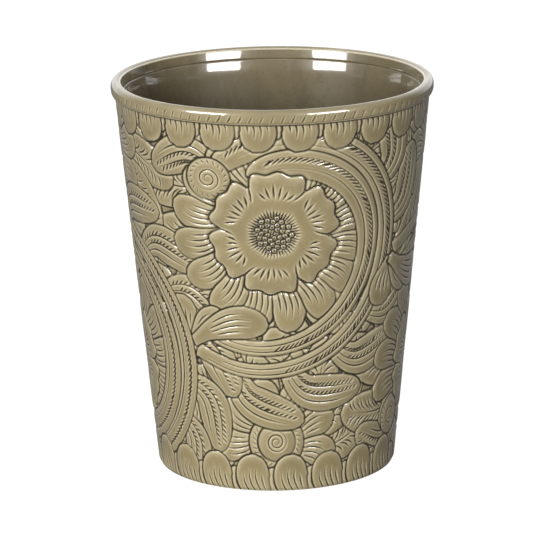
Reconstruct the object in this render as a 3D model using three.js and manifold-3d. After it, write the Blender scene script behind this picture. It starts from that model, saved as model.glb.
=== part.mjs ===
// Leather dice cup: a tapered tube of tooled leather over a stiff core, lined, with a beaded rim.
// Millimetres, +Z up.  The origin is the centre of the underside, on the cup's axis.
// The back of the cup, where the outer leather is sewn shut, is the +Y side.

import * as THREE from 'three';
import { mergeVertices } from 'three/addons/utils/BufferGeometryUtils.js';
import Module from 'manifold-3d';

// ---- driving dimensions ------------------------------------------------------------------
const CUP_HEIGHT = 98;          // table to the crown of the rim bead
const RIM_RADIUS = 40;          // widest point of the rim bead
const LIP_RADIUS = 37.5;        // inner edge of the lip
const FOOT_RADIUS = 29.8;       // outer leather at the table
const SHOULDER_RADIUS = 38.98;  // outer leather where the rim bead starts
const SHOULDER_HEIGHT = 94.3;   // height of the rim bead's lower edge

const SLEEVE_THICKNESS = 1.2;   // tooled outer leather
const CORE_THICKNESS = 0.6;     // stiff board tube inside it
const LINING_THICKNESS = 0.5;   // thin leather inside the core
const BINDING_THICKNESS = 0.35; // folded strip that covers the top edges
const BASE_THICKNESS = 2.0;     // leather disc the cup stands on
const CORE_DISC_THICKNESS = 1.5;
const FLOOR_THICKNESS = 1.0;    // leather disc the dice land on

const GLUE_GAP = 0.1;           // clearance between two glued layers
const THREAD_RADIUS = 0.3;
const STITCH_LENGTH = 4.5;
const STITCH_COUNT = 19;        // stitches up the back seam, counted inside and outside
const CORE_SEAM_WIDTH = 1.8;    // gap between the two edges of the rolled core board
const LINING_SEAM_WIDTH = 0.3;  // gap between the two edges of the rolled lining

const SEGMENTS = 72;            // every round layer shares these, so the gaps stay even
const BACK = Math.PI / 2;       // azimuth of the outer seam
const FRONT = -Math.PI / 2;     // azimuth of the lining seam

// ---- heights that follow from them -------------------------------------------------------
const LIP_HEIGHT = CUP_HEIGHT - 0.4;                   // top of the folded lip
const PLY_TOP = CUP_HEIGHT - 1.1;                      // where sleeve and lining end
const SKIRT_BOTTOM = LIP_HEIGHT - 2.5;                 // lower edge of the binding's inner skirt
const FLARE_BOTTOM = SKIRT_BOTTOM - 2.8;               // the mouth opens out above this; the core ends
const BASE_TOP = BASE_THICKNESS;
const CORE_DISC_BOTTOM = BASE_TOP + GLUE_GAP;
const CORE_DISC_TOP = CORE_DISC_BOTTOM + CORE_DISC_THICKNESS;
const FLOOR_BOTTOM = CORE_DISC_TOP + GLUE_GAP;
const FLOOR_TOP = FLOOR_BOTTOM + FLOOR_THICKNESS;

// ---- radii: the plies are offsets of one cone --------------------------------------------
const TAPER = (SHOULDER_RADIUS - FOOT_RADIUS) / SHOULDER_HEIGHT;
const PARED_THICKNESS = 0.85;                          // the sleeve is thinned towards the mouth

function coneRadius(z) {
  return FOOT_RADIUS + TAPER * z;
}

// 0 below the mouth's flare, 1 above it
function flareShare(z) {
  return THREE.MathUtils.clamp((z - FLARE_BOTTOM) / (SKIRT_BOTTOM - FLARE_BOTTOM), 0, 1);
}

function sleeveInside(z) {
  return coneRadius(z) - THREE.MathUtils.lerp(SLEEVE_THICKNESS, PARED_THICKNESS, flareShare(z));
}

function coreInside(z) {
  return sleeveInside(z) - GLUE_GAP - CORE_THICKNESS;
}

// Below the flare the lining lies on the core; above it lies on the sleeve.
function liningOutside(z) {
  const step = THREE.MathUtils.lerp(GLUE_GAP + CORE_THICKNESS, 0, flareShare(z));
  return sleeveInside(z) - step - GLUE_GAP;
}

function liningInside(z) {
  return liningOutside(z) - LINING_THICKNESS;
}

// ---- mesh helpers ------------------------------------------------------------------------
function leather(colour, roughness) {
  return new THREE.MeshStandardMaterial({ color: colour, roughness, metalness: 0 });
}

const TOOLED = leather(0x8d8264, 0.25);
const BOUND = leather(0xa09678, 0.22);
const SMOOTH = leather(0x776c54, 0.3);
const BOARD = leather(0x9c8a66, 0.85);
const LINEN = leather(0x4a4230, 0.7);

function meshOf(name, positions, indices, material) {
  const geometry = new THREE.BufferGeometry();
  geometry.setAttribute('position', new THREE.Float32BufferAttribute(positions, 3));
  geometry.setIndex(indices);
  geometry.computeVertexNormals();
  const mesh = new THREE.Mesh(geometry, material);
  mesh.name = name;
  return mesh;
}

// Revolves a closed outline of [radius, height] points, counter-clockwise with radius to the
// right, about Z.  With a slit the ring stops short of a full turn and gets two flat ends.
function ring(outline, slitWidth = 0, slitAzimuth = 0) {
  const open = slitWidth > 0;
  const halfSlit = open ? Math.asin(slitWidth / 2 / outline[0][0]) : 0;
  const sweep = 2 * Math.PI - 2 * halfSlit;
  const columns = open ? SEGMENTS + 1 : SEGMENTS;
  const positions = [];
  const indices = [];
  const size = outline.length;
  for (let i = 0; i < columns; i += 1) {
    const angle = slitAzimuth + halfSlit + (sweep * i) / SEGMENTS;
    for (const [radius, height] of outline) {
      positions.push(radius * Math.cos(angle), radius * Math.sin(angle), height);
    }
  }
  for (let i = 0; i < SEGMENTS; i += 1) {
    const here = i * size;
    const next = ((i + 1) % columns) * size;
    for (let j = 0; j < size; j += 1) {
      const k = (j + 1) % size;
      indices.push(here + j, next + j, next + k);
      indices.push(here + j, next + k, here + k);
    }
  }
  if (open) {
    const points = outline.map(([radius, height]) => new THREE.Vector2(radius, height));
    const last = SEGMENTS * size;
    for (const [a, b, c] of THREE.ShapeUtils.triangulateShape(points, [])) {
      indices.push(a, b, c);
      indices.push(last + a, last + c, last + b);
    }
  }
  return [positions, indices];
}

// A solid disc whose edge follows a radius function from its bottom to its top.
function disc(bottom, top, edgeRadius) {
  const positions = [];
  const indices = [];
  for (const height of [bottom, top]) {
    for (let i = 0; i < SEGMENTS; i += 1) {
      const angle = (2 * Math.PI * i) / SEGMENTS;
      const radius = edgeRadius(height);
      positions.push(radius * Math.cos(angle), radius * Math.sin(angle), height);
    }
  }
  const under = positions.length / 3;
  positions.push(0, 0, bottom, 0, 0, top);
  for (let i = 0; i < SEGMENTS; i += 1) {
    const next = (i + 1) % SEGMENTS;
    indices.push(under, next, i);
    indices.push(under + 1, SEGMENTS + i, SEGMENTS + next);
    indices.push(i, next, SEGMENTS + next);
    indices.push(i, SEGMENTS + next, SEGMENTS + i);
  }
  return [positions, indices];
}

// Sweeps a round section of the given radius along a list of points that lie in the plane
// x = 0, with a flat cap at each end.
function threadAlong(path, radius, sides) {
  const positions = [];
  const indices = [];
  const across = new THREE.Vector3(1, 0, 0);
  path.forEach((point, i) => {
    const before = path[Math.max(i - 1, 0)];
    const after = path[Math.min(i + 1, path.length - 1)];
    const along = new THREE.Vector3().subVectors(after, before).normalize();
    const up = new THREE.Vector3().crossVectors(along, across);
    for (let s = 0; s < sides; s += 1) {
      const angle = (2 * Math.PI * s) / sides;
      const spot = point.clone()
        .addScaledVector(across, radius * Math.cos(angle))
        .addScaledVector(up, radius * Math.sin(angle));
      positions.push(spot.x, spot.y, spot.z);
    }
  });
  for (let i = 0; i + 1 < path.length; i += 1) {
    for (let s = 0; s < sides; s += 1) {
      const t = (s + 1) % sides;
      const a = i * sides;
      const b = a + sides;
      indices.push(a + s, a + t, b + t);
      indices.push(a + s, b + t, b + s);
    }
  }
  const end = (path.length - 1) * sides;
  for (let s = 1; s + 1 < sides; s += 1) {
    indices.push(0, s + 1, s);
    indices.push(end, end + s, end + s + 1);
  }
  return [positions, indices];
}

// ---- solid modelling kernel, used only to punch the stitch holes ---------------------------
const wasm = await Module();
wasm.setup();

function toSolid([positions, indices]) {
  const geometry = new THREE.BufferGeometry();
  geometry.setAttribute('position', new THREE.Float32BufferAttribute(positions, 3));
  geometry.setIndex(indices);
  const merged = mergeVertices(geometry);
  return new wasm.Manifold(new wasm.Mesh({
    numProp: 3,
    vertProperties: Float32Array.from(merged.attributes.position.array),
    triVerts: Uint32Array.from(merged.index.array),
  }));
}

function fromSolid(solid) {
  const mesh = solid.getMesh();
  return [Array.from(mesh.vertProperties), Array.from(mesh.triVerts)];
}

// ---- tooled sleeve: a leather cone frustum with a row of stitch holes at the back ----------
function stitchHeight(index) {
  return SHOULDER_HEIGHT / 2 + (index - STITCH_COUNT / 2) * STITCH_LENGTH;
}

function stitchHole(index) {
  const sides = 12;
  const radius = THREAD_RADIUS + 0.15;
  const z = stitchHeight(index);
  const near = coneRadius(z) - SLEEVE_THICKNESS - 1;
  const far = coneRadius(z) + 1;
  const path = [new THREE.Vector3(0, near, z), new THREE.Vector3(0, far, z)];
  return threadAlong(path, radius, sides);
}

function tooledSleeve() {
  const outline = [
    [sleeveInside(0), 0],
    [coneRadius(0), 0],
    [coneRadius(PLY_TOP), PLY_TOP],
    [sleeveInside(PLY_TOP), PLY_TOP],
    [sleeveInside(SKIRT_BOTTOM), SKIRT_BOTTOM],
    [sleeveInside(FLARE_BOTTOM), FLARE_BOTTOM],
  ];
  let solid = toSolid(ring(outline));
  for (let i = 0; i <= STITCH_COUNT; i += 1) {
    solid = solid.subtract(toSolid(stitchHole(i)));
  }
  return meshOf('tooled_sleeve', ...fromSolid(solid), TOOLED);
}

// ---- seam thread: one running stitch that closes the sleeve at the back ------------------
function seamThread() {
  const outside = (z) => coneRadius(z) + GLUE_GAP + THREAD_RADIUS;
  const inside = (z) => sleeveInside(z) - GLUE_GAP - THREAD_RADIUS;
  const bend = 0.45;
  const path = [];
  for (let i = 0; i <= STITCH_COUNT; i += 1) {
    const z = stitchHeight(i);
    const goesIn = i % 2 === 1;
    const first = goesIn ? outside(z) : inside(z);
    const last = goesIn ? inside(z) : outside(z);
    const turn = Math.sign(last - first) * bend;
    if (i > 0) path.push(new THREE.Vector3(0, first, z - bend));
    path.push(new THREE.Vector3(0, first + turn, z));
    path.push(new THREE.Vector3(0, last - turn, z));
    if (i < STITCH_COUNT) path.push(new THREE.Vector3(0, last, z + bend));
  }
  return meshOf('seam_thread', ...threadAlong(path, THREAD_RADIUS, 8), LINEN);
}

// ---- core tube: a rolled board strip, its gap behind the stitches --------------------------
function coreTube() {
  const bottom = CORE_DISC_BOTTOM;
  const outline = [
    [coreInside(bottom), bottom],
    [sleeveInside(bottom) - GLUE_GAP, bottom],
    [sleeveInside(FLARE_BOTTOM) - GLUE_GAP, FLARE_BOTTOM],
    [coreInside(FLARE_BOTTOM), FLARE_BOTTOM],
  ];
  return meshOf('core_tube', ...ring(outline, CORE_SEAM_WIDTH, BACK), BOARD);
}

// ---- lining tube: thin leather, its joint on the side opposite the stitches ----------------
function liningTube() {
  const heights = [FLOOR_BOTTOM, FLARE_BOTTOM, SKIRT_BOTTOM, PLY_TOP];
  const outside = heights.map((z) => [liningOutside(z), z]);
  const inside = heights.map((z) => [liningInside(z), z]).reverse();
  const outline = [inside.pop(), ...outside, ...inside];
  return meshOf('lining_tube', ...ring(outline, LINING_SEAM_WIDTH, FRONT), SMOOTH);
}

// ---- lip binding: an inner skirt and a top fold over the edges of sleeve and lining ---------
function lipBinding() {
  const foldBottom = PLY_TOP + GLUE_GAP;
  const foldTop = foldBottom + BINDING_THICKNESS;
  const lipRound = 0.27;
  const hem = 0.56;             // the skirt's lower edge is turned under, so it is thicker
  const hemOutside = liningInside(SKIRT_BOTTOM) - GLUE_GAP;
  const outline = [
    [hemOutside - hem, SKIRT_BOTTOM],
    [hemOutside, SKIRT_BOTTOM],
    [liningInside(PLY_TOP) - GLUE_GAP, foldBottom],
    [coneRadius(foldBottom), foldBottom],
    [coneRadius(foldTop), foldTop],
    [LIP_RADIUS + 0.56, foldTop],
  ];
  for (let i = 0; i <= 6; i += 1) {
    const angle = THREE.MathUtils.degToRad(15 + (165 * i) / 6);
    outline.push([
      LIP_RADIUS + lipRound + lipRound * Math.cos(angle),
      LIP_HEIGHT - lipRound + lipRound * Math.sin(angle),
    ]);
  }
  return meshOf('lip_binding', ...ring(outline), BOUND);
}

// ---- rim bead: the thick outer ring that holds the binding down -----------------------------
function rimBead() {
  const innerTop = PLY_TOP + BINDING_THICKNESS + 2 * GLUE_GAP;
  const lowest = SHOULDER_HEIGHT + 0.08;
  const equator = SHOULDER_HEIGHT + 1.75;
  const underCurve = 0.65;      // how far the underside curls back in
  const overCurve = 1.15;       // how far the crown lies inside the widest point
  const innerEdge = LIP_RADIUS + 0.62;
  const outline = [
    [coneRadius(lowest) + GLUE_GAP, lowest],
    [coneRadius(lowest) + 0.4, lowest],
  ];
  for (let i = 1; i <= 3; i += 1) {
    const angle = THREE.MathUtils.degToRad(-90 + 30 * i);
    outline.push([
      RIM_RADIUS - underCurve + underCurve * Math.cos(angle),
      equator + (equator - lowest - 0.05) * Math.sin(angle),
    ]);
  }
  for (let i = 1; i <= 6; i += 1) {
    const angle = THREE.MathUtils.degToRad(15 * i);
    outline.push([
      RIM_RADIUS - overCurve + overCurve * Math.cos(angle),
      equator + (CUP_HEIGHT - equator) * Math.sin(angle),
    ]);
  }
  outline.push([innerEdge + 0.15, CUP_HEIGHT - 0.07]);
  outline.push([innerEdge, CUP_HEIGHT - 0.22]);
  outline.push([innerEdge, innerTop]);
  outline.push([coneRadius(innerTop) + GLUE_GAP, innerTop]);
  return meshOf('rim_bead', ...ring(outline), BOUND);
}

// ---- the three discs that close the bottom ---------------------------------------------------
function baseDisc() {
  const edge = (z) => sleeveInside(z) - GLUE_GAP;
  return meshOf('base_disc', ...disc(0, BASE_TOP, edge), TOOLED);
}

function coreDisc() {
  const edge = (z) => coreInside(z) - GLUE_GAP;
  return meshOf('core_disc', ...disc(CORE_DISC_BOTTOM, CORE_DISC_TOP, edge), BOARD);
}

function floorLining() {
  const edge = (z) => liningInside(z) - GLUE_GAP;
  return meshOf('floor_lining', ...disc(FLOOR_BOTTOM, FLOOR_TOP, edge), SMOOTH);
}

// ---- the cup -------------------------------------------------------------------------------
const diceCup = new THREE.Group();
diceCup.name = 'leather_dice_cup';
diceCup.add(
  tooledSleeve(),
  seamThread(),
  coreTube(),
  liningTube(),
  lipBinding(),
  rimBead(),
  baseDisc(),
  coreDisc(),
  floorLining(),
);

export default diceCup;
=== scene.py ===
"""Looks for the leather dice cup: tooled sleeve, beaded rim, folded lip, glossy lining, seam thread.

Shapes are worked out in millimetres round the cup's axis (+Z) and written to Blender in metres.
The front of the drawing faces -Y; the sewn seam is at +Y.
"""
import math

import bpy
import numpy as np
from mathutils import Matrix, Vector


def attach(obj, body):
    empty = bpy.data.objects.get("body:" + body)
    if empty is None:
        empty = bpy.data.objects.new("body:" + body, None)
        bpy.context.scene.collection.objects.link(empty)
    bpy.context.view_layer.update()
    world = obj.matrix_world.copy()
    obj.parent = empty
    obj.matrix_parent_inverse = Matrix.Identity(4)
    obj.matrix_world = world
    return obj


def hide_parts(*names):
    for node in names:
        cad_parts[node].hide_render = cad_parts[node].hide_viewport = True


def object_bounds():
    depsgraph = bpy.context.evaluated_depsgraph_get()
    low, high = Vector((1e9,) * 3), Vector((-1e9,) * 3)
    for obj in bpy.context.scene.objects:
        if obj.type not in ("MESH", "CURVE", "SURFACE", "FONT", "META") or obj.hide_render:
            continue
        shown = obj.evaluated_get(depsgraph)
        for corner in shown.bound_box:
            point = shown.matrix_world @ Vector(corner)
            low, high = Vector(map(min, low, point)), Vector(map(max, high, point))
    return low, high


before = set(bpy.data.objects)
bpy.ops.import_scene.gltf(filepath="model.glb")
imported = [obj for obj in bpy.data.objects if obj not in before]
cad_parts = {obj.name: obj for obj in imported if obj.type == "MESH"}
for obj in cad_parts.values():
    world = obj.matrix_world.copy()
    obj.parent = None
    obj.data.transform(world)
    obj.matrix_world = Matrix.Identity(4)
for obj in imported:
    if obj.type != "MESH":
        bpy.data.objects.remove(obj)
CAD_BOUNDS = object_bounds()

MM = 0.001

# --- the drawing panel ----------------------------------------------------------------------
# The wall is drawn flat: x runs round the cup, y is height.  One panel covers half a turn and
# is used twice.  Places are (degrees round from the panel's middle, mm above the table).
DEGREE = 0.6
MEAN_RADIUS = 34.4
PANEL_WIDTH = 180 * DEGREE
PANEL_HEIGHT = 96.0
PITCH = 0.1
GROUND_DEPTH = 0.34
SEED_DOT = 0.52


def curve(places, step=0.6):
    """A smooth line through a few places, as points in flat millimetres."""
    knots = np.array(places, float)
    knots = np.vstack([2 * knots[0] - knots[1], knots, 2 * knots[-1] - knots[-2]])
    line = []
    for a, b, c, d in zip(knots[:-3], knots[1:-2], knots[2:-1], knots[3:]):
        count = max(2, int(np.hypot(*(c - b)) / step))
        t = np.linspace(0, 1, count, endpoint=False)[:, None]
        line.append(0.5 * (2 * b + (c - a) * t + (2 * a - 5 * b + 4 * c - d) * t ** 2
                           + (3 * b - a - 3 * c + d) * t ** 3))
    line.append(knots[-2][None])
    return np.vstack(line)


def at(*places):
    """Places in (degrees, mm) as flat millimetres."""
    return [(x * DEGREE, y) for x, y in places]


def resample(line, step):
    """The same line with evenly spaced points."""
    run = np.concatenate([[0], np.cumsum(np.hypot(*np.diff(line, axis=0).T))])
    spots = np.linspace(0, run[-1], max(2, int(run[-1] / step) + 1))
    return np.stack([np.interp(spots, run, line[:, 0]), np.interp(spots, run, line[:, 1])], 1)


def normals(line):
    along = np.gradient(line, axis=0)
    along /= np.maximum(np.hypot(along[:, 0], along[:, 1]), 1e-9)[:, None]
    return np.stack([-along[:, 1], along[:, 0]], 1)


def smooth(low, high, value):
    t = np.clip((value - low) / (high - low), 0, 1)
    return t * t * (3 - 2 * t)


class Panel:
    """Height of the leather in mm, and how much dark wash sits in each spot (0 to 1)."""

    def __init__(self):
        self.cols = round(PANEL_WIDTH / PITCH)
        self.rows = round(PANEL_HEIGHT / PITCH)
        shape = (self.rows, self.cols)
        self.level = np.full(shape, -GROUND_DEPTH)
        self.groove = np.zeros(shape)
        self.shade = np.zeros(shape)
        self.matted = np.ones(shape)
        self.pale = np.zeros(shape)

    def window(self, low, high, reach):
        """Row and column numbers around a box, and the flat position of each spot."""
        x0, y0 = ((np.array(low) - reach) / PITCH).astype(int)
        x1, y1 = ((np.array(high) + reach) / PITCH).astype(int) + 2
        ys = np.arange(max(y0, 0), min(y1, self.rows))
        xs = np.arange(x0, x1)
        wrapped = (xs + self.cols // 2) % self.cols
        return ys, xs, np.ix_(ys, wrapped)

    def cut(self, line, width, depth, ends=(0.0, 0.0)):
        """A knife cut along a line; ends are the widths left at its two ends, as fractions."""
        line = np.asarray(line)
        count = len(line) - 1
        t = np.linspace(0, 1, count + 1)
        swell = np.minimum(ends[0] + (1 - ends[0]) * smooth(0, 0.35, t),
                           ends[1] + (1 - ends[1]) * smooth(0, 0.45, 1 - t))
        half = 0.5 * width * np.maximum(swell, 0.12)
        for k in range(count):
            a, b = line[k], line[k + 1]
            reach = max(half[k], half[k + 1])
            ys, xs, spot = self.window(np.minimum(a, b), np.maximum(a, b), reach)
            if not len(ys):
                continue
            px, py = xs[None] * PITCH - a[0], ys[:, None] * PITCH - a[1]
            run = b - a
            s = np.clip((px * run[0] + py * run[1]) / max(run @ run, 1e-9), 0, 1)
            away = np.hypot(px - s * run[0], py - s * run[1])
            wide = half[k] + (half[k + 1] - half[k]) * s
            deep = depth * (wide / (0.5 * width)) * np.clip(1 - (away / wide) ** 2, 0, 1)
            self.groove[spot] = np.maximum(self.groove[spot], deep)

    def edge_distance(self, outline, reach):
        """Signed distance to a closed outline in a window round it, positive inside."""
        outline = np.asarray(outline)
        ys, xs, spot = self.window(outline.min(0), outline.max(0), reach)
        if not len(ys):
            return None
        away = np.full((len(ys), len(xs)), reach)
        parity = np.zeros((len(ys), len(xs) + 1))
        for a, b in zip(outline, np.roll(outline, -1, axis=0)):
            x0, y0 = ((np.minimum(a, b) - reach) / PITCH).astype(int)
            x1, y1 = ((np.maximum(a, b) + reach) / PITCH).astype(int) + 2
            r0, r1 = max(y0 - ys[0], 0), min(y1 - ys[0], len(ys))
            c0, c1 = max(x0 - xs[0], 0), min(x1 - xs[0], len(xs))
            if r1 > r0 and c1 > c0:
                px = xs[None, c0:c1] * PITCH - a[0]
                py = ys[r0:r1, None] * PITCH - a[1]
                run = b - a
                s = np.clip((px * run[0] + py * run[1]) / max(run @ run, 1e-9), 0, 1)
                part = away[r0:r1, c0:c1]
                np.minimum(part, np.hypot(px - s * run[0], py - s * run[1]), out=part)
            if a[1] != b[1]:
                low, high = (a, b) if a[1] < b[1] else (b, a)
                hit = np.nonzero((ys * PITCH >= low[1]) & (ys * PITCH < high[1]))[0]
                cross = low[0] + (ys[hit] * PITCH - low[1]) * (high[0] - low[0]) / (high[1] - low[1])
                place = np.clip(np.ceil(cross / PITCH - xs[0]).astype(int), 0, len(xs))
                np.add.at(parity, (hit, place), 1)
        inside = np.cumsum(parity, axis=1)[:, :-1] % 2 > 0.5
        return np.where(inside, away, -away), spot

    def raise_shape(self, outline, level=0.0, dome=0.13, dome_width=1.5, bevel=0.18,
                    bevel_width=0.85):
        """Lays a rounded shape over what is already there and presses down the leather round it."""
        found = self.edge_distance(outline, max(dome_width, bevel_width) + 0.1)
        if found is None:
            return
        away, spot = found
        inner = level + dome * (1 - (1 - np.clip(away / dome_width, 0, 1)) ** 2) - dome
        press = bevel * (1 - np.clip(-away / bevel_width, 0, 1)) ** 2
        outer = np.minimum(self.level[spot] - press, self.level[spot])
        mix = smooth(-0.22, 0.16, away)
        self.level[spot] = outer * (1 - mix) + inner * mix
        keep = 1 - smooth(-0.05, 0.1, away)
        self.groove[spot] *= keep
        self.shade[spot] *= keep
        self.matted[spot] *= keep
        line = np.clip(1 - np.abs(away + 0.16) / 0.32, 0, 1)
        self.shade[spot] = np.maximum(self.shade[spot], 0.95 * line)

    def stamp(self, centre, radius):
        """A small ring-topped seed stamp."""
        ys, xs, spot = self.window(centre, centre, radius * 1.6)
        if not len(ys):
            return
        away = np.hypot(xs[None] * PITCH - centre[0], ys[:, None] * PITCH - centre[1]) / radius
        cap = 0.14 * np.clip(1 - (np.abs(away - 0.62) / 0.5) ** 2, 0, 1)
        body = 1 - smooth(0.85, 1.12, away)
        self.level[spot] = np.where(away < 1.5, -GROUND_DEPTH * (1 - body) + (cap - 0.08) * body,
                                    self.level[spot])
        self.shade[spot] = np.where(away < 1.5, 1.2 * (1 - body), self.shade[spot])
        hole = 1 - smooth(0.4 * SEED_DOT, SEED_DOT, away)
        self.shade[spot] = np.maximum(self.shade[spot], hole)
        self.groove[spot] *= away > 1.5
        self.pale[spot] = np.maximum(self.pale[spot], 1.2 * body)


# --- motifs ---------------------------------------------------------------------------------
LEAF_STEP = 0.6
TICK_CUT = (0.46, 0.24)
FEATHER_SLANT = 38


def band_outline(line, half):
    """The outline of a band with a given half width at each point of its middle line."""
    side = normals(line) * half[:, None]
    return np.vstack([line + side, (line - side)[::-1]])


def band_halves(count, width, root, belly):
    """Half widths from a root of a given fraction, through the belly, to a round tip."""
    t = np.linspace(0, 1, count)
    grow = root + (1 - root) * smooth(0, belly, t)
    tip = np.sqrt(np.clip(1 - ((t - belly) / (1 - belly)).clip(0, 1) ** 2, 0, 1))
    return 0.5 * width * grow * np.maximum(tip, 0.02)


def strokes(panel, line, half, lane, span, pitch, length, slant):
    """A row of short slanted cuts along one lane of a band."""
    side = normals(line)
    run = np.concatenate([[0], np.cumsum(np.hypot(*np.diff(line, axis=0).T))])
    for place in np.arange(span[0] * run[-1], span[1] * run[-1], pitch):
        k = min(np.searchsorted(run, place), len(line) - 1)
        along = np.array([side[k][1], -side[k][0]])
        start = line[k] + side[k] * half[k] * lane
        way = np.cos(slant) * along + np.sin(slant) * side[k]
        mid = start + way * length * 0.5 + along * length * 0.06
        panel.cut(curve([start, mid, start + way * length], step=0.35), *TICK_CUT, (0.9, 0.2))


def ribbon(panel, places, width, root, belly, lines=(), ticks=()):
    """A band with a round tip, grooves along it and rows of ticks.

    A line is (lane, from, to): lane runs from -1 to 1 across, from and to are fractions of
    the length.  A row of ticks is (lane, from, to, pitch, length, slant in degrees)."""
    line = resample(curve(at(*places)), LEAF_STEP)
    half = band_halves(len(line), width, root, belly)
    panel.raise_shape(band_outline(line, half))
    side = normals(line)
    for lane, start, stop in lines:
        a, b = int(start * (len(line) - 1)), int(stop * (len(line) - 1)) + 1
        panel.cut(line[a:b] + side[a:b] * (half[a:b] * lane)[:, None], 0.44, 0.24, (0.7, 0.4))
    for lane, start, stop, pitch, length, slant in ticks:
        strokes(panel, line, half, lane, (start, stop), pitch, length, np.radians(slant))


def bowed(root, tip, bend):
    """A middle line from root to tip that bows sideways by a fraction of its length."""
    root, tip = np.array(root, float), np.array(tip, float)
    flat = (tip - root) * (DEGREE, 1)
    sideways = np.array([-flat[1], flat[0]]) / (DEGREE, 1)
    return [tuple(root), tuple(root + 0.3 * (tip - root) + 0.8 * bend * sideways),
            tuple(root + 0.65 * (tip - root) + bend * sideways), tuple(tip)]


def lobe(panel, root, tip, width, bend=0.15, cuts=3):
    """One finger of a leaf: a rounded band with a few long cuts that follow it."""
    places = bowed(root, tip, bend)
    lanes = np.linspace(-0.55, 0.55, cuts) if cuts > 1 else [0.0] * cuts
    lines = [(lane, 0.3 + 0.12 * abs(lane), 0.86 - 0.22 * abs(lane)) for lane in lanes]
    ribbon(panel, places, width, root=0.35, belly=0.68, lines=lines)


def feather(panel, places, width, pitch, root, belly):
    """A broad leaf with a midrib and a row of cuts on each side of it."""
    line = resample(curve(at(*places)), LEAF_STEP)
    half = band_halves(len(line), width, root, belly)
    panel.raise_shape(band_outline(line, half))
    panel.cut(line[: int(0.88 * len(line))], 0.4, 0.22, (0.8, 0.3))
    run = len(line) * LEAF_STEP
    side = normals(line)
    turn = np.radians(FEATHER_SLANT)
    for place in np.arange(0.08 * run, 0.84 * run, pitch):
        k = int(place / LEAF_STEP)
        along = np.array([side[k][1], -side[k][0]])
        for hand in (-1, 1):
            length = 0.78 * half[k]
            start = line[k] + side[k] * hand * 0.12 * half[k]
            mid = start + length * 0.5 * (np.cos(turn) * along + np.sin(turn) * hand * side[k])
            end = start + length * (np.cos(turn * 1.35) * along
                                    + np.sin(turn * 1.35) * hand * side[k])
            panel.cut(curve([start, mid, end], step=0.4), *TICK_CUT, (0.5, 0.25))


def ring_shape(centre, radius, count=72, ruffle=None):
    turn = np.linspace(0, 2 * np.pi, count, endpoint=False)
    reach = radius * (ruffle(turn) if ruffle else 1.0)
    x = centre[0] * DEGREE + reach * np.cos(turn)
    return np.stack([x, centre[1] + reach * np.sin(turn)], 1)


def spiral(panel, centre, radius, turns, start, hand):
    t = np.linspace(0, 1, int(24 * turns))
    angle = start + hand * 2 * np.pi * turns * t
    reach = radius * (1 - 0.86 * t)
    x = centre[0] * DEGREE + reach * np.cos(angle)
    panel.cut(np.stack([x, centre[1] + reach * np.sin(angle)], 1), 0.36, 0.2, (0.5, 0.6))


def flower(panel, centre, radius, petals=6, turned=0.0, seeds=4.3):
    """An open flower: ruffled petals of one size, veins, seeds and rays."""
    span = 2 * np.pi / petals
    first = np.radians(turned)

    def ruffle(turn):
        phase = ((turn - first) % span) / span
        edge = np.minimum(phase, 1 - phase) * span
        notch = np.exp(-(edge / 0.07) ** 2)
        return 1.01 - 0.17 * notch - 0.027 * np.cos(6 * np.pi * phase) * (1 - notch)

    middle = np.array([centre[0] * DEGREE, centre[1]])
    panel.raise_shape(ring_shape(centre, radius, 240, ruffle), 0.06, dome=0.24,
                      dome_width=2.4, bevel=0.42, bevel_width=1.3)

    def spoke(angle, reach):
        return middle + reach * np.array([np.cos(angle), np.sin(angle)])

    for edge in first + span * np.arange(petals):
        seam = [spoke(edge, 0.86 * radius), spoke(edge + 0.04, 0.72 * radius),
                spoke(edge + 0.15, 0.58 * radius)]
        panel.cut(curve(seam), 0.46, 0.26, (1.0, 0.15))
        veins = int(round(span / 0.17))
        for share in np.linspace(-1, 1, veins):
            angle = edge + span * (0.5 + 0.36 * share)
            outer = radius * (0.84 - 0.07 * abs(share) + 0.03 * np.sin(9 * angle))
            inner = radius * (0.52 + 0.05 * abs(share))
            lean = -0.16 * share
            vein = [spoke(angle, outer), spoke(angle + 0.3 * lean, 0.5 * (outer + inner)),
                    spoke(angle + lean, inner)]
            panel.cut(curve(vein, step=0.4), 0.58, 0.2, (0.35, 0.15))

    for angle in np.linspace(0, 2 * np.pi, 48, endpoint=False):
        length = 1.5 + 0.09 * np.cos(7 * angle)
        spokes = [0.98 * seeds, 1.18 * seeds, length * seeds]
        panel.cut([spoke(angle, reach) for reach in spokes], 0.46, 0.28, (1.0, 0.15))
    spacing = 0.7
    golden_angle = np.pi * (3 - np.sqrt(5))
    for k in range(int((seeds / spacing) ** 2)):
        panel.stamp(spoke(k * golden_angle, spacing * np.sqrt(k + 0.5)), 0.56)


def rosette(panel, centre, radius, turns, hand, start=0.5, rays=16):
    """A curled leaf end: a disc with a spiral cut and short cuts fanning from its rim."""
    panel.raise_shape(ring_shape(centre, radius), 0.04, dome=0.22, dome_width=2.4)
    spiral(panel, centre, 0.62 * radius, turns, start, hand)
    for k in range(rays):
        angle = 2 * np.pi * k / rays
        middle = np.array([centre[0] * DEGREE, centre[1]])
        ends = []
        for reach, lean in ((0.9, 0.0), (0.8, -0.07 * hand), (0.72, -0.16 * hand)):
            way = np.array([np.cos(angle + lean), np.sin(angle + lean)])
            ends.append(middle + reach * radius * way)
        panel.cut(curve(ends, step=0.4), 0.34, 0.16, (0.6, 0.15))


# --- the drawing ------------------------------------------------------------------------------
# A plain winding vine: two flowers in each half turn, one high and one low, each with a stem
# that winds round it.  The low one is the high one mirrored top to bottom, a quarter turn on.
FLOWER_RADIUS = 15.0
HIGH_FLOWER = (0, 67)
LOW_FLOWER = (90, 28)
CORNER_DROP = 54.0
STEM_SWEEP = 262.0
STEM_START = 236.0


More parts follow.
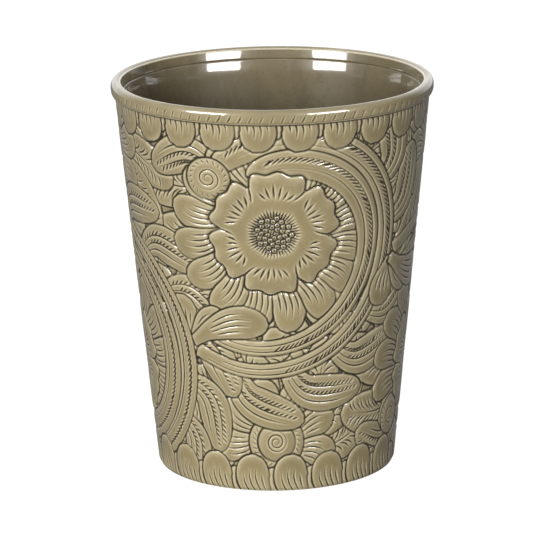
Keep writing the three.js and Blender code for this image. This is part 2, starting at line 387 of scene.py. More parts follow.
def polar(centre, angle, reach):
    """The place at an angle in degrees from the right and a distance in mm from a centre."""
    turn = np.radians(angle)
    return centre[0] + reach * np.cos(turn) / DEGREE, centre[1] + reach * np.sin(turn)


def corner(panel, centre, start, hand):
    """Two rings of leaves round a curled bud, between the stems of neighbouring flowers."""
    for k in range(13):
        angle = start + hand * k * 360 / 13
        line = [polar(centre, angle, 5), polar(centre, angle + 7 * hand, 16),
                polar(centre, angle + 22 * hand, 30)]
        feather(panel, line, 10.5, pitch=1.6, root=0.35, belly=0.55)
    for k in range(9):
        angle = start + hand * k * 40
        lobe(panel, polar(centre, angle, 4), polar(centre, angle + 24 * hand, 17), 8.5,
             bend=0.14 * hand, cuts=4)
    rosette(panel, centre, 7.4, turns=0.01, hand=-hand, rays=30)
    rosette(panel, centre, 5.0, turns=2.6, hand=-hand, start=2.4, rays=0)


def backing(panel, centre, start, hand):
    """Long veined leaves that fill what lies behind the flower and its stem."""
    for k in range(12):
        angle = start + hand * k * 30
        line = [polar(centre, angle, 13), polar(centre, angle + 8 * hand, 24),
                polar(centre, angle + 20 * hand, 37)]
        feather(panel, line, 11.5, pitch=1.5, root=0.5, belly=0.55)


def stem_reach(share):
    """Distance of the stem's middle from the flower's centre, from its root to its tip."""
    return 37.5 - 17.5 * share


def side_leaves(panel, centre, start, hand):
    """Leaves that leave the outside of a stem, each lying over the one before."""
    for share in np.linspace(0.06, 0.96, 12):
        angle = start + hand * STEM_SWEEP * share
        reach = stem_reach(share)
        root = polar(centre, angle, reach - 2)
        middle = polar(centre, angle + 9 * hand, reach + 7)
        tip = polar(centre, angle + 27 * hand, reach + 13)
        ribbon(panel, [root, middle, tip], 9.5, root=0.5, belly=0.55,
               lines=[(-0.5, 0.2, 0.88), (-0.1, 0.2, 0.94), (0.35, 0.2, 0.9)],
               ticks=[(0.42, 0.2, 0.86, 1.2, 1.6, 40), (-0.04, 0.3, 0.9, 1.2, 1.3, 40)])


def flower_leaves(panel, centre, start, hand):
    """A ring of leaves that shows between the petals and the stem."""
    for k in range(16):
        angle = start + hand * k * 22.5
        lobe(panel, polar(centre, angle, 9), polar(centre, angle + 18 * hand, 25.5), 8.0,
             bend=0.14 * hand, cuts=4)


def stem(panel, centre, start, hand):
    """Two bands that wind in towards the flower, with a leaf fan over their root."""
    for inset, end in ((0.0, 1.0), (6.0, 0.9)):
        shares = np.linspace(0.0, end, 14)
        places = [polar(centre, start + hand * STEM_SWEEP * share, stem_reach(share) - inset)
                  for share in shares]
        ribbon(panel, places, 7.0, root=0.5, belly=0.88,
               lines=[(-0.5, 0.03, 0.96), (0.3, 0.06, 0.93)],
               ticks=[(-0.42 * hand, 0.18, 0.94, 1.15, 2.3, 36 * hand)])
    for lean, length in ((-20, 8), (6, 12), (30, 14)):
        root = polar(centre, start - 3 * hand, stem_reach(0) - 1)
        tip = polar(centre, start + lean * hand, stem_reach(0) - length)
        lobe(panel, root, tip, 8.4, bend=0.12 * hand, cuts=4)
    tip = polar(centre, start + hand * STEM_SWEEP, stem_reach(1.0))
    rosette(panel, tip, 5.2, turns=2.4, hand=hand, start=2.4, rays=20)


def rim_row(panel):
    """Short leaves that hang from under the rim and lean along it."""
    for angle in np.arange(-90, 90, 15):
        lobe(panel, (angle + 6, 99), (angle + 14, 90.2), 6.4, bend=0.16, cuts=2)
        lobe(panel, (angle, 100), (angle + 8, 87.6), 7.8, bend=0.22, cuts=4)


def table_row(panel):
    """Short leaves that stand on the table edge and lean the other way."""
    for angle in np.arange(-90, 90, 18):
        lobe(panel, (angle + 8, -4), (angle - 2, 6.2), 7.4, bend=0.16, cuts=3)
        lobe(panel, (angle, -5), (angle - 10, 9.6), 9.4, bend=0.2, cuts=4)


def draw_panel():
    panel = Panel()
    halves = ((HIGH_FLOWER, STEM_START, 1, -CORNER_DROP), (LOW_FLOWER, -STEM_START, -1, CORNER_DROP))
    for (across, height), start, hand, drop in halves:
        backing(panel, (across, height), start, hand)
        corner(panel, (across, height + drop), start, hand)
    for part in (side_leaves, flower_leaves, stem):
        for centre, start, hand, _ in halves:
            part(panel, centre, start, hand)
    for centre, start, hand, _ in halves:
        flower(panel, centre, FLOWER_RADIUS, turned=start)
    rim_row(panel)
    table_row(panel)
    return panel


# --- the frame's walls ----------------------------------------------------------------------
class Wall:
    """Inner and outer radius of a round CAD node at any height, in mm."""

    def __init__(self, node):
        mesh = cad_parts[node].data
        spots = np.empty(len(mesh.vertices) * 3)
        mesh.vertices.foreach_get("co", spots)
        spots = spots.reshape(-1, 3) / MM
        radius = np.hypot(spots[:, 0], spots[:, 1])
        height = np.round(spots[:, 2], 2)
        self.heights = np.unique(height)
        self.inner_radii = np.array([radius[height == z].min() for z in self.heights])
        self.outer_radii = np.array([radius[height == z].max() for z in self.heights])
        self.bottom, self.top = self.heights[0], self.heights[-1]

    def inner(self, z):
        return np.interp(z, self.heights, self.inner_radii)

    def outer(self, z):
        return np.interp(z, self.heights, self.outer_radii)


def edge_radius(wall, side, z):
    """Radius on a straight wall between its lowest and its highest ring."""
    radii = wall.outer_radii if side == "outer" else wall.inner_radii
    return np.interp(z, [wall.bottom, wall.top], [radii[0], radii[-1]])


# --- mesh building --------------------------------------------------------------------------
def new_piece(name, spots, faces, material, node=None, shades=None):
    """Makes a smooth-shaded piece from points in mm; shades are named values per point."""
    mesh = bpy.data.meshes.new(name)
    spots = np.asarray(spots, float).reshape(-1, 3) * MM
    mesh.vertices.add(len(spots))
    mesh.vertices.foreach_set("co", spots.ravel())
    corners = np.concatenate([np.asarray(f).ravel() for f in faces])
    sizes = np.concatenate([np.full(len(f), np.asarray(f).shape[1]) for f in faces])
    mesh.loops.add(len(corners))
    mesh.loops.foreach_set("vertex_index", corners)
    mesh.polygons.add(len(sizes))
    mesh.polygons.foreach_set("loop_start", np.concatenate([[0], np.cumsum(sizes)[:-1]]))
    mesh.polygons.foreach_set("use_smooth", np.ones(len(sizes), bool))
    for label, values in (shades or {}).items():
        layer = mesh.attributes.new(label, "FLOAT", "POINT")
        layer.data.foreach_set("value", np.asarray(values, np.float32).ravel())
    mesh.update(calc_edges=True)
    mesh.validate()
    piece = bpy.data.objects.new(name, mesh)
    bpy.context.scene.collection.objects.link(piece)
    piece.data.materials.append(material)
    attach(piece, "root")
    if node:
        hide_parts(node)
    return piece


def turned(name, radius, height, material, node, slot, shades=None):
    """A closed ring: radius and height are (profile points, columns) tables in mm."""
    rows, columns = radius.shape
    angle = 2 * np.pi * np.arange(columns) / columns
    spots = np.stack([radius * np.sin(angle), -radius * np.cos(angle), height], -1)
    index = np.arange(rows * columns).reshape(rows, columns)
    right = np.roll(index, -1, axis=1)
    above = np.roll(index, -1, axis=0)
    above_right = np.roll(right, -1, axis=0)
    quads = np.stack([index, right, above_right, above], -1).reshape(-1, 4)
    piece = new_piece(name, spots, [quads], material, node, shades)
    return piece


def lathe(name, outline, columns, material, node, slot, crest_and_painted_highlight=None):
    """A closed ring with the same outline all the way round; the last argument is a value per point
    for pale crests and painted highlight.
    """
    outline = np.asarray(outline)
    radius = np.repeat(outline[:, :1], columns, axis=1)
    height = np.repeat(outline[:, 1:], columns, axis=1)
    crest_and_painted_highlight = np.zeros(len(outline)) if crest_and_painted_highlight is None else crest_and_painted_highlight
    shades = {"crest_and_painted_highlight": np.repeat(crest_and_painted_highlight[:, None], columns, axis=1)}
    return turned(name, radius, height, material, node, slot, shades)


def plate(name, outline, columns, material, node):
    """A solid disc; its outline runs from near the axis underneath to near the axis on top."""
    outline = np.asarray(outline)
    angle = 2 * np.pi * np.arange(columns) / columns
    radius, height = outline[:, :1], outline[:, 1:]
    spots = np.stack([radius * np.sin(angle), -radius * np.cos(angle),
                      np.repeat(height, columns, axis=1)], -1).reshape(-1, 3)
    spots = np.vstack([spots, [[0, 0, outline[0, 1]], [0, 0, outline[-1, 1]]]])
    index = np.arange(len(outline) * columns).reshape(len(outline), columns)
    right = np.roll(index, -1, axis=1)
    quads = np.stack([index[:-1], right[:-1], right[1:], index[1:]], -1).reshape(-1, 4)
    under, over = len(spots) - 2, len(spots) - 1
    caps = np.vstack([np.stack([np.full(columns, under), right[0], index[0]], -1),
                      np.stack([np.full(columns, over), index[-1], right[-1]], -1)])
    piece = new_piece(name, spots, [quads, caps], material, node)
    return piece


def arc(centre, radius, start, stop, count):
    """Points on a circular arc in the (radius, height) plane, angles in degrees."""
    turn = np.radians(np.linspace(start, stop, count))
    return np.stack([centre[0] + radius * np.cos(turn), centre[1] + radius * np.sin(turn)], 1)


# --- materials ------------------------------------------------------------------------------
class Nodes:
    """Shorthand for wiring a material's node tree."""

    def __init__(self, name):
        self.material = bpy.data.materials.new(name)
        self.material.use_nodes = True
        self.tree = self.material.node_tree
        self.shader = self.tree.nodes["Principled BSDF"]
        self.place = self.add("ShaderNodeTexCoord").outputs["Object"]

    def add(self, kind, **settings):
        node = self.tree.nodes.new(kind)
        for key, value in settings.items():
            setattr(node, key, value)
        return node

    def link(self, source, target):
        self.tree.links.new(source, target)

    def shade(self, label):
        return self.add("ShaderNodeAttribute", attribute_name=label).outputs["Fac"]

    def noise(self, scale, detail=4.0, roughness=0.55, distortion=0.0, tall=1.0):
        """Cloudy noise; tall above 1 draws it out into upright streaks."""
        node = self.add("ShaderNodeTexNoise")
        node.inputs["Scale"].default_value = scale
        node.inputs["Detail"].default_value = detail
        node.inputs["Roughness"].default_value = roughness
        node.inputs["Distortion"].default_value = distortion
        place = self.add("ShaderNodeMapping")
        place.inputs["Scale"].default_value = (1, 1, 1 / tall)
        self.link(self.place, place.inputs["Vector"])
        self.link(place.outputs["Vector"], node.inputs["Vector"])
        return node.outputs["Fac"]

    def remap(self, value, low, high, out_low=0.0, out_high=1.0):
        node = self.add("ShaderNodeMapRange", interpolation_type="SMOOTHSTEP")
        self.link(value, node.inputs["Value"])
        for key, number in (("From Min", low), ("From Max", high),
                            ("To Min", out_low), ("To Max", out_high)):
            node.inputs[key].default_value = number
        return node.outputs["Result"]

    def math(self, operation, a, b):
        node = self.add("ShaderNodeMath", operation=operation)
        for value, socket in zip((a, b), node.inputs):
            if isinstance(value, (int, float)):
                socket.default_value = value
            else:
                self.link(value, socket)
        return node.outputs["Value"]

    def mix(self, share, first, second):
        """Blends two colours; each is a socket or an (r, g, b) tuple."""
        node = self.add("ShaderNodeMix", data_type="RGBA")
        sockets = {s.identifier: s for s in node.inputs}
        pairs = ((share, "Factor_Float"), (first, "A_Color"), (second, "B_Color"))
        for value, key in pairs:
            if isinstance(value, tuple):
                sockets[key].default_value = (*value, 1)
            elif isinstance(value, (int, float)):
                sockets[key].default_value = value
            else:
                self.link(value, sockets[key])
        return next(s for s in node.outputs if s.identifier == "Result_Color")

    def bump(self, height, strength, distance):
        node = self.add("ShaderNodeBump")
        node.inputs["Strength"].default_value = strength
        node.inputs["Distance"].default_value = distance
        self.link(height, node.inputs["Height"])
        self.link(node.outputs["Normal"], self.shader.inputs["Normal"])
        return node

    def finish(self, colour, roughness, coat, coat_roughness=0.06):
        self.link(colour, self.shader.inputs["Base Color"])
        if isinstance(roughness, (int, float)):
            self.shader.inputs["Roughness"].default_value = roughness
        else:
            self.link(roughness, self.shader.inputs["Roughness"])
        self.shader.inputs["Specular IOR Level"].default_value = 0.5 if coat == 0 else 0.2
        self.shader.inputs["Coat Weight"].default_value = coat
        self.shader.inputs["Coat Roughness"].default_value = coat_roughness
        self.shader.inputs["Coat IOR"].default_value = 1.42
        return self.material


# TAN_LIGHT is the pale of rubbed crests and of painted highlights; the last colour is the dark of the
# wash and specks and of painted shade.
TAN = (0.268, 0.214, 0.107)
TAN_LIGHT = (0.56, 0.486, 0.316)
OLIVE = (0.22, 0.177, 0.087)
WASH_AND_SHADE = (0.017, 0.012, 0.006)


def tooled_leather(name, tan=TAN, olive=OLIVE):
    """Lacquered leather with dark wash in the cuts and rubbed, paler crests, plus painted shade and
    painted highlights from the point attributes.
    """
    n = Nodes(name)
    mottle = n.remap(n.noise(90, 5), 0.35, 0.68)
    colour = n.mix(mottle, tan, olive)
    speck = n.remap(n.noise(1400, 3), 0.52, 0.72, 0.0, 0.1)
    colour = n.mix(speck, colour, WASH_AND_SHADE)
    # Pale crests with painted highlights, then dark wash with painted shade.
    crest_and_painted_highlight = n.shade("crest_and_painted_highlight")
    colour = n.mix(crest_and_painted_highlight, colour, TAN_LIGHT)
    wash_and_shade = n.shade("wash_and_shade")
    colour = n.mix(wash_and_shade, colour, WASH_AND_SHADE)
    rough = n.math("ADD", n.remap(mottle, 0, 1, 0.26, 0.36), n.math("MULTIPLY", wash_and_shade, 0.2))
    grain = n.noise(2300, 3, 0.6)
    n.bump(grain, 0.12, 0.00012)
    n.finish(colour, rough, 1.0, 0.07)
    n.link(n.remap(wash_and_shade, 0.15, 0.8, 1.0, 0.4), n.shader.inputs["Coat Weight"])
    return n.material


def smooth_leather(name, tan, olive):
    """Polished lining leather: soft clouds of colour and faint streaks."""
    n = Nodes(name)
    cloud = n.remap(n.noise(70, 4, 0.5, 0.6), 0.3, 0.7)
    colour = n.mix(cloud, tan, olive)
    streak = n.remap(n.noise(154, 5, 0.6, 0.8, tall=4.0), 0.42, 0.72, 0.0, 0.4)
    colour = n.mix(streak, colour, tuple(0.45 * shade for shade in olive))
    speck = n.remap(n.noise(1200, 3), 0.55, 0.75, 0.0, 0.25)
    colour = n.mix(speck, colour, WASH_AND_SHADE)
    # Painted highlight where a piece sets it, as along the lip's top edge.
    colour = n.mix(n.shade("crest_and_painted_highlight"), colour, TAN_LIGHT)
    rough = n.remap(cloud, 0, 1, 0.22, 0.34)
    n.bump(n.noise(1500, 2), 0.06, 0.00012)
    return n.finish(colour, rough, 1.0, 0.05)


def board(name):
    """Grey-brown fibre board, matt."""
    n = Nodes(name)
    fibres = n.remap(n.noise(900, 6, 0.7, 1.5), 0.35, 0.7)
    colour = n.mix(fibres, (0.36, 0.26, 0.14), (0.24, 0.17, 0.09))
    n.bump(fibres, 0.3, 0.0002)
    return n.finish(colour, 0.85, 0.0)


def waxed_thread(name):
    """Dark linen thread with a wax sheen and fine fibres."""
    n = Nodes(name)
    fibres = n.remap(n.noise(3000, 4, 0.7), 0.35, 0.7)
    colour = n.mix(fibres, (0.10, 0.075, 0.04), (0.045, 0.033, 0.02))
    n.bump(fibres, 0.3, 0.0001)
    return n.finish(colour, 0.5, 0.3, 0.3)


# --- tooled sleeve --------------------------------------------------------------------------
SLEEVE_PITCH = 0.15
RELIEF = 1.15


def blur(table, spread):
    """A cheap blur that wraps round the columns; spread is a number of cells."""
    for _ in range(3):
        total = np.zeros_like(table)
        for step in range(-spread, spread + 1):
            total += np.roll(table, step, axis=1)
        table = total / (2 * spread + 1)
        padded = np.pad(table, ((spread, spread), (0, 0)), mode="edge")
        sums = np.cumsum(np.vstack([np.zeros(padded.shape[1]), padded]), axis=0)
        table = (sums[2 * spread + 1:] - sums[:-2 * spread - 1]) / (2 * spread + 1)
    return table


def painted_light_side(height):
    """1 on slopes that face up and left and -1 on the opposite: the side of painted light and painted
    shade, as if lit from the upper left.
    """
    rise_y, rise_x = np.gradient(height, PITCH)
    return np.clip((0.6 * rise_x - 0.8 * rise_y) / 0.3, -1, 1)


def relief_tables(panel):
    """Height, dark wash with painted shade, and pale crests with painted highlights of one half turn,
    on the raster of the panel.
    """
    ys, xs = np.mgrid[0:panel.rows, 0:panel.cols] * PITCH
    wander = 0.25 * np.sin(xs / 1.7) * np.sin(ys / 2.3)
    hatch = np.maximum(np.cos(2 * np.pi * (xs + wander) / 0.62),
                       np.cos(2 * np.pi * (ys - wander) / 0.8) - 0.3)
    height = RELIEF * panel.level - panel.groove + 0.07 * panel.matted * hatch
    height = blur(height, 1) * 0.6 + height * 0.4
    wide = blur(height, 6)
    narrow = blur(height, 2)
    hollow = np.clip((wide - height) / 0.12, 0, 1)
    crest_and_painted_highlight = np.clip((height - wide) / 0.3 - 0.1, 0, 0.4) + np.clip((height - narrow) / 0.1, 0, 0.5)
    cuts = np.clip(panel.groove / 0.2, 0, 1) ** 1.2
    hand = np.sin(xs / 3.1 + 2 * np.sin(ys / 4.7)) * np.sin(ys / 2.9 + 1.3 * np.sin(xs / 5.9))
    wash_and_shade = np.maximum((0.9 + 0.35 * hand) * panel.shade, (0.8 + 0.35 * hand) * cuts)
    # Painted light and shade: slopes facing up and left lose wash, slopes facing down and right get a
    # little painted shade.
    lit = painted_light_side(blur(height, 1))
    wash_and_shade = wash_and_shade * (1 - 0.3 * lit) + 0.08 * np.clip(-lit, 0, 1)
    wash_and_shade = wash_and_shade + 0.35 * hollow + panel.matted * (0.1 - 0.1 * hatch)
    wash_and_shade = np.clip(wash_and_shade + 0.3 * blur(wash_and_shade, 9), 0, 1)
    # Painted highlight: a pale line beside each dark line, stronger on the side facing up and left,
    # and pale on all slopes facing up and left.
    painted_edge_highlight = (2.0 + 1.2 * lit) * blur(wash_and_shade, 2) * (1 - 0.6 * panel.matted)
    crest_and_painted_highlight = np.clip(crest_and_painted_highlight + panel.pale + painted_edge_highlight + 0.45 * np.clip(lit, 0, 1), 0, 1)
    return height, wash_and_shade, crest_and_painted_highlight * (1 - wash_and_shade) ** 2


def sample(table, x, y):
    """Reads a half-turn table at flat positions in mm, wrapping round the cup."""
    column = (x / PITCH + table.shape[1] // 2) % table.shape[1]
    row = np.clip(y / PITCH, 0, table.shape[0] - 1.001)
    c0, r0 = np.floor(column).astype(int), np.floor(row).astype(int)
    u, v = column - c0, row - r0
    c1 = (c0 + 1) % table.shape[1]
    c0 = c0 % table.shape[1]
    low = table[r0, c0] * (1 - u) + table[r0, c1] * u
    high = table[r0 + 1, c0] * (1 - u) + table[r0 + 1, c1] * u
    return low * (1 - v) + high * v


def tooled_sleeve(material):
    wall = Wall("tooled_sleeve")
    columns = int(round(2 * PANEL_WIDTH / SLEEVE_PITCH))
    rows = int(round((wall.top - wall.bottom) / SLEEVE_PITCH))
    z = np.linspace(wall.bottom, wall.top, rows)[:, None] + np.zeros((1, columns))
    x = 2 * PANEL_WIDTH * np.arange(columns) / columns
    x = np.where(x > PANEL_WIDTH, x - 2 * PANEL_WIDTH, x)[None] + np.zeros((rows, 1))
    tables = relief_tables(draw_panel())
    height, wash_and_shade, crest_and_painted_highlight = (sample(t, x, z) for t in tables)

    seam_distance = (PANEL_WIDTH - np.abs(x)) * (wall.outer(z) / MEAN_RADIUS)
    on_seam = 1 - smooth(3.0, 3.3, seam_distance)
    height = height * (1 - on_seam) + on_seam * -0.12
    border = np.clip(1 - np.abs(seam_distance - 3.3) / 0.28, 0, 1)
    height -= 0.22 * border
    wash_and_shade = np.clip(wash_and_shade * (1 - on_seam) + border, 0, 1)
    crest_and_painted_highlight = crest_and_painted_highlight * (1 - on_seam)

    shoulder = Wall("rim_bead").bottom
    height = height + 0.06
    tucked = smooth(shoulder - 0.5, shoulder + 0.1, z)
    height = height * (1 - tucked) - 0.05 * tucked
    hem = 1 - smooth(0.0, 0.9, z - wall.bottom)
    height = height * (1 - hem) - 0.3 * hem
    # Painted shadow: a dark band on the wall just under the rim bead.
    wash_and_shade = np.maximum(wash_and_shade, smooth(shoulder - 0.6, shoulder - 0.15, z))

    radius = edge_radius(wall, "outer", z) + height
    blank = np.zeros((2, columns))
    inner_z = np.array([[wall.top], [wall.bottom]]) + blank
    inside = wall.inner(inner_z)
    return turned("tooled_sleeve_relief", np.vstack([radius, inside]), np.vstack([z, inner_z]),
                  material, "tooled_sleeve", "tooled_leather",
                  {"wash_and_shade": np.vstack([wash_and_shade, blank]), "crest_and_painted_highlight": np.vstack([crest_and_painted_highlight, blank])})


# --- rim --------------------------------------------------------------------------------------
TICKS = 98


def rim_bead(material):
    """The ring round the mouth, with slanted cuts across its face and a thin lower edge."""
    wall = Wall("rim_bead")
    wide, top, bottom = wall.outer_radii.max(), wall.top, wall.bottom
    seat = wall.inner_radii[0]
    tall = top - bottom
    outline = curve([(wide - 0.72, bottom + 0.02), (wide - 0.4, bottom + 0.12),
                     (wide - 0.22, bottom + 0.42), (wide - 0.06, bottom + 0.95),
                     (wide, bottom + 0.5 * tall), (wide - 0.07, bottom + 0.69 * tall),
                     (wide - 0.36, bottom + 0.86 * tall), (wide - 0.85, top - 0.07),
                     (wide - 1.3, top), (wide - 1.8, top - 0.22)], step=0.08)
    back = np.array([(wide - 1.84, top - 0.3), (wide - 1.84, top - 0.5), (seat + 0.22, top - 0.55),
                     (seat + 0.02, top - 1.0), (seat, bottom + 0.1), (seat + 0.05, bottom)])
    outline = resample(outline, 0.07)
    run = np.concatenate([[0], np.cumsum(np.hypot(*np.diff(outline, axis=0).T))])
    columns = TICKS * 15
    around = np.arange(columns) / columns * TICKS
    number = np.floor(around)
    drift = 0.12 * np.sin(number * 12.9898) * np.sin(np.pi * (around - number))
    lean = 0.42 * (run - 2.0) / 2.6
    phase = (around[None] + drift[None] - lean[:, None]) % 1.0
    spacing = 2 * np.pi * wide / TICKS
    gap = np.minimum(phase, 1 - phase) * spacing
    wobble = 0.5 + 0.5 * np.sin(np.floor(around[None] - lean[:, None]) * 7.313)
    reach = 2.6 + 0.35 * wobble
    window = smooth(0.72, 1.0, run)[:, None] * (1 - smooth(reach - 0.8, reach, run[:, None]))
    groove = np.clip(1 - (gap / 0.21) ** 2, 0, 1) * window * (0.7 + 0.3 * wobble)
    lower_edge = np.exp(-((run - 0.62) / 0.1) ** 2)[:, None]
    pillow = 0.02 * np.cos(2 * np.pi * phase) * window
    offset = -0.13 * groove - pillow - 0.06 * lower_edge
    normal = normals(outline)
    radius = outline[:, :1] - normal[:, :1] * offset
    height = outline[:, 1:] - normal[:, 1:] * offset
    under = 1 - smooth(0.0, 0.3, run)[:, None]
    # Wash in the slanted cuts and along the lower edge, plus painted shade on the bead's underside.
    wash_and_shade = np.clip(0.9 * groove + 0.45 * lower_edge + 0.8 * under, 0, 1) + 0 * radius
    # Painted highlights: a pale line beside each slanted cut and along the bead's lower lip.
    crest_and_painted_highlight = np.clip(1 - np.abs(gap - 0.36) / 0.16, 0, 1) * window * 0.6
    crest_and_painted_highlight = np.maximum(crest_and_painted_highlight, 0.8 * np.exp(-((run - 0.38) / 0.12) ** 2)[:, None]) + 0 * radius
    back = np.repeat(back[:, :, None], columns, axis=2)
    blank = np.zeros((len(back), columns))
    return turned("rim_bead_cut", np.vstack([radius, back[:, 0]]), np.vstack([height, back[:, 1]]),
                  material, "rim_bead", "rim_leather",
                  {"wash_and_shade": np.vstack([wash_and_shade, blank]), "crest_and_painted_highlight": np.vstack([crest_and_painted_highlight, blank])})


def lip_binding(material):
    """The rounded lip and the collar inside it; the collar's face is gently convex."""
    wall = Wall("lip_binding")
    low, top = wall.bottom, wall.top
    lip = wall.inner_radii[wall.heights > low + 1].min()
    skirt = wall.inner_radii[0]
    fold = wall.outer_radii.max()
    collar = curve([(skirt + 0.34, low + 0.01), (skirt + 0.14, low + 0.04), (skirt + 0.02, low + 0.24),
                    (0.5 * (skirt + lip) - 0.03, low + 1.2), (lip, top - 0.24)], step=0.08)
    rounded = arc((lip + 0.2, top - 0.2), 0.2, 180, 95, 12)
    rest = [(lip + 0.42, top + 0.05), (lip + 0.62, top + 0.12), (lip + 0.62, top - 0.24),
            (fold - 0.05, top - 0.27), (fold, top - 0.32), (fold, top - 0.6),
            (lip + 0.4, top - 0.6), (skirt + 0.42, low + 0.1)]
    outline = np.vstack([collar, rounded, rest])[::-1]
    # Painted highlight along the top of the lip.
    pale = smooth(top - 0.34, top - 0.12, outline[:, 1])
    return lathe("lip_binding_folded", outline, 360, material, "lip_binding", "rim_leather", pale)


def lining(material):
    """The smooth inside wall; it leans out under the collar and ends in a fine shadow line."""
    wall = Wall("lining_tube")
    collar = Wall("lip_binding")
    knee, shelf = wall.heights[1], collar.bottom - 0.05
    skirt = collar.inner_radii[0]
    heights = np.linspace(wall.bottom, shelf - 0.1, 240)
    radii = np.interp(heights, [wall.bottom, knee, shelf], [*wall.inner_radii[:2], skirt])
    for _ in range(5):
        radii[1:-1] = (radii[:-2] + radii[1:-1] * 2 + radii[2:]) / 4
    edge = [(skirt + 0.08, shelf), (wall.inner(collar.bottom), shelf),
            (wall.inner_radii[-1], wall.top)]
    inside = np.vstack([np.stack([radii, heights], 1), edge])
    outside = np.stack([wall.outer(wall.heights), wall.heights], 1)
    outline = np.vstack([outside, inside[::-1]])
    return lathe("lining_tube_polished", outline, 360, material, "lining_tube", "lining_leather")


# --- bottom -----------------------------------------------------------------------------------
def rounded_plate(name, node, material, edge=0.25):
    wall = Wall(node)
    low, high = wall.bottom, wall.top
    r_low, r_high = wall.outer_radii[0], wall.outer_radii[-1]
    outline = [(0.5, low), (r_low * 0.5, low), (r_low - 2, low)]
    outline += list(arc((r_low - edge, low + edge), edge, 270, 360, 6))
    outline += list(arc((r_high - edge, high - edge), edge, 0, 90, 6))
    outline += [(r_high - 2, high), (r_high * 0.5, high), (0.5, high)]
    return plate(name, outline, 240, material, node)


# --- stage ------------------------------------------------------------------------------------
def light_panel(name, azimuth, elevation, distance, size, power, glint=False):
    """A rectangular lamp that faces the cup's middle; azimuth 0 is in front, + to the right.

    A glint panel shows only in reflections, and any other panel only in the matt shading."""
    data = bpy.data.lights.new(name, "AREA")
    data.shape = "RECTANGLE"
    data.size, data.size_y = size
    data.energy = power
    lamp = bpy.data.objects.new(name, data)
    bpy.context.scene.collection.objects.link(lamp)
    turn, rise = math.radians(azimuth), math.radians(elevation)
    aim = Vector((0, 0, 0.06))
    away = Vector((math.sin(turn) * math.cos(rise), -math.cos(turn) * math.cos(rise),
                   math.sin(rise)))
    lamp.location = aim + away * distance
    lamp.rotation_euler = (-away).to_track_quat("-Z", "Y").to_euler()
    lamp.visible_diffuse = not glint
    lamp.visible_glossy = glint
    return lamp


KEY_DIRECTION = (-0.28, -0.92, 0.27)


def studio():
    """A white room in reflections and behind the cup; soft light mostly from the front left."""
    world = bpy.data.worlds.new("studio")
    bpy.context.scene.world = world
    world.use_nodes = True
    tree = world.node_tree

    def add(kind, **settings):
        node = tree.nodes.new(kind)
        for key, value in settings.items():
            setattr(node, key, value)
        return node

    def ramp(source, low, high, out_low, out_high):
        node = add("ShaderNodeMapRange", interpolation_type="SMOOTHSTEP")
        tree.links.new(source, node.inputs["Value"])
        for key, number in (("From Min", low), ("From Max", high),
                            ("To Min", out_low), ("To Max", out_high)):
            node.inputs[key].default_value = number
        return node.outputs["Result"]

    def total(first, second):
        node = add("ShaderNodeMath", operation="ADD")
        tree.links.new(first, node.inputs[0])
        tree.links.new(second, node.inputs[1])
        return node.outputs["Value"]

    place = add("ShaderNodeTexCoord").outputs["Generated"]
    facing = add("ShaderNodeVectorMath", operation="DOT_PRODUCT")
    tree.links.new(place, facing.inputs[0])
    facing.inputs[1].default_value = KEY_DIRECTION
    split = add("ShaderNodeSeparateXYZ")
    tree.links.new(place, split.inputs[0])
    front = ramp(facing.outputs["Value"], 0.55, 1.0, 0.0, 0.3)
    ceiling = ramp(split.outputs["Z"], 0.3, 1.0, 0.0, 0.36)
    rear = ramp(split.outputs["Y"], 0.4, 1.0, 0.0, 1.2)
    matt = total(total(front, ceiling), rear)
    behind = ramp(split.outputs["Y"], 0.35, 0.85, 0.06, 1.2)
    above = ramp(split.outputs["Z"], 0.1, 0.75, 0.0, 1.05)
    mirror = total(behind, above)
    ray = add("ShaderNodeLightPath")
    lit = add("ShaderNodeMix")
    tree.links.new(ray.outputs["Is Diffuse Ray"], lit.inputs[0])
    tree.links.new(mirror, lit.inputs[2])
    tree.links.new(matt, lit.inputs[3])
    shown = add("ShaderNodeMix")
    tree.links.new(ray.outputs["Is Camera Ray"], shown.inputs[0])
    tree.links.new(lit.outputs[0], shown.inputs[2])
    shown.inputs[3].default_value = 1.1
    back = tree.nodes["Background"]
    tree.links.new(shown.outputs[0], back.inputs["Strength"])
    back.inputs["Color"].default_value = (1, 1, 1, 1)
    light_panel("softbox_key", -17, 10, 1.6, (0.5, 0.5), 30.5)
    light_panel("glint_left", -48, 21, 0.9, (0.44, 0.32), 13.0, glint=True)
    light_panel("glint_right", 40, 21, 0.9, (0.44, 0.3), 12.0, glint=True)


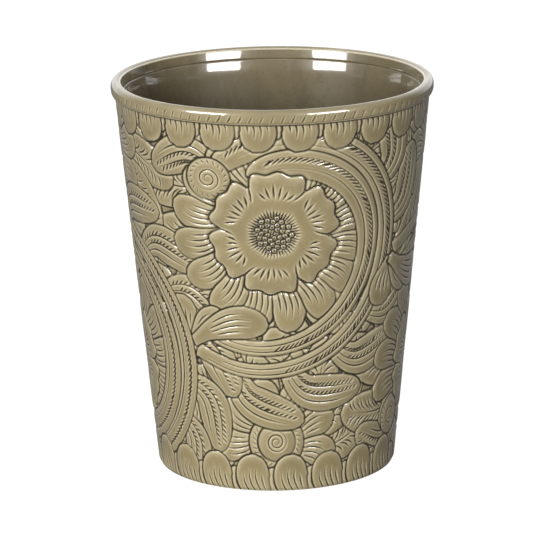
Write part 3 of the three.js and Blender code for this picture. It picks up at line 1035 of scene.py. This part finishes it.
def floor():
    """Pale paper; part of its white shows to the camera only, so it lights the cup less."""
    size = 1.6
    corners = [(-size, -size, 0), (size, -size, 0), (size, size, 0), (-size, size, 0)]
    mesh = bpy.data.meshes.new("floor")
    mesh.from_pydata(corners, [], [(0, 1, 2, 3)])
    plane = bpy.data.objects.new("floor", mesh)
    plane.location.z = -0.0002
    bpy.context.scene.collection.objects.link(plane)
    n = Nodes("floor_paint")
    n.shader.inputs["Base Color"].default_value = (0.3, 0.3, 0.3, 1)
    n.shader.inputs["Roughness"].default_value = 0.9
    n.shader.inputs["Emission Color"].default_value = (1, 1, 1, 1)
    seen = n.add("ShaderNodeLightPath").outputs["Is Camera Ray"]
    n.link(n.math("MULTIPLY", seen, 0.88), n.shader.inputs["Emission Strength"])
    plane.data.materials.append(n.material)


CUPS_AWAY = 8.9
VIEW_RISE = 14.9
VIEW_ROLL = -0.7
LENS = 234.5
SHIFT = (-0.0148, 0.0041)


def camera():
    """Looks down a little on the front of the cup; the distance is counted in cup heights."""
    low, high = CAD_BOUNDS
    tall = high[2] - low[2]
    distance = CUPS_AWAY * tall
    rise = math.radians(VIEW_RISE)
    data = bpy.data.cameras.new("camera")
    data.type = "PERSP"
    data.sensor_width = 36
    data.lens = LENS
    data.shift_x, data.shift_y = SHIFT
    eye = bpy.data.objects.new("camera", data)
    bpy.context.scene.collection.objects.link(eye)
    aim = Vector((0, 0, 0.498 * tall))
    away = Vector((0, -math.cos(rise), math.sin(rise)))
    eye.location = aim + away * distance
    turn = (-away).to_track_quat("-Z", "Y").to_matrix()
    eye.rotation_euler = (turn @ Matrix.Rotation(math.radians(VIEW_ROLL), 3, "Z")).to_euler()
    bpy.context.scene.camera = eye


# --- the cup ----------------------------------------------------------------------------------
def build():
    tooled = tooled_leather("tooled_leather")
    rim = tooled_leather("rim_leather", (0.29, 0.24, 0.135), (0.235, 0.195, 0.105))
    lip = smooth_leather("lip_leather", (0.21, 0.172, 0.098), (0.165, 0.135, 0.076))
    lined = smooth_leather("lining_leather", (0.225, 0.187, 0.112), (0.175, 0.143, 0.085))
    card = board("core_board")
    tooled_sleeve(tooled)
    rim_bead(rim)
    lip_binding(lip)
    lining(lined)
    rounded_plate("floor_lining_disc", "floor_lining", lined)
    rounded_plate("base_disc_leather", "base_disc", lined, 0.3)
    for node in ("core_tube", "core_disc"):
        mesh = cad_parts[node].data
        mesh.materials.clear()
        mesh.materials.append(card)
    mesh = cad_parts["seam_thread"].data
    mesh.materials.clear()
    mesh.materials.append(waxed_thread("waxed_thread"))


build()
floor()
studio()
camera()
bpy.context.scene.view_settings.view_transform = "Standard"
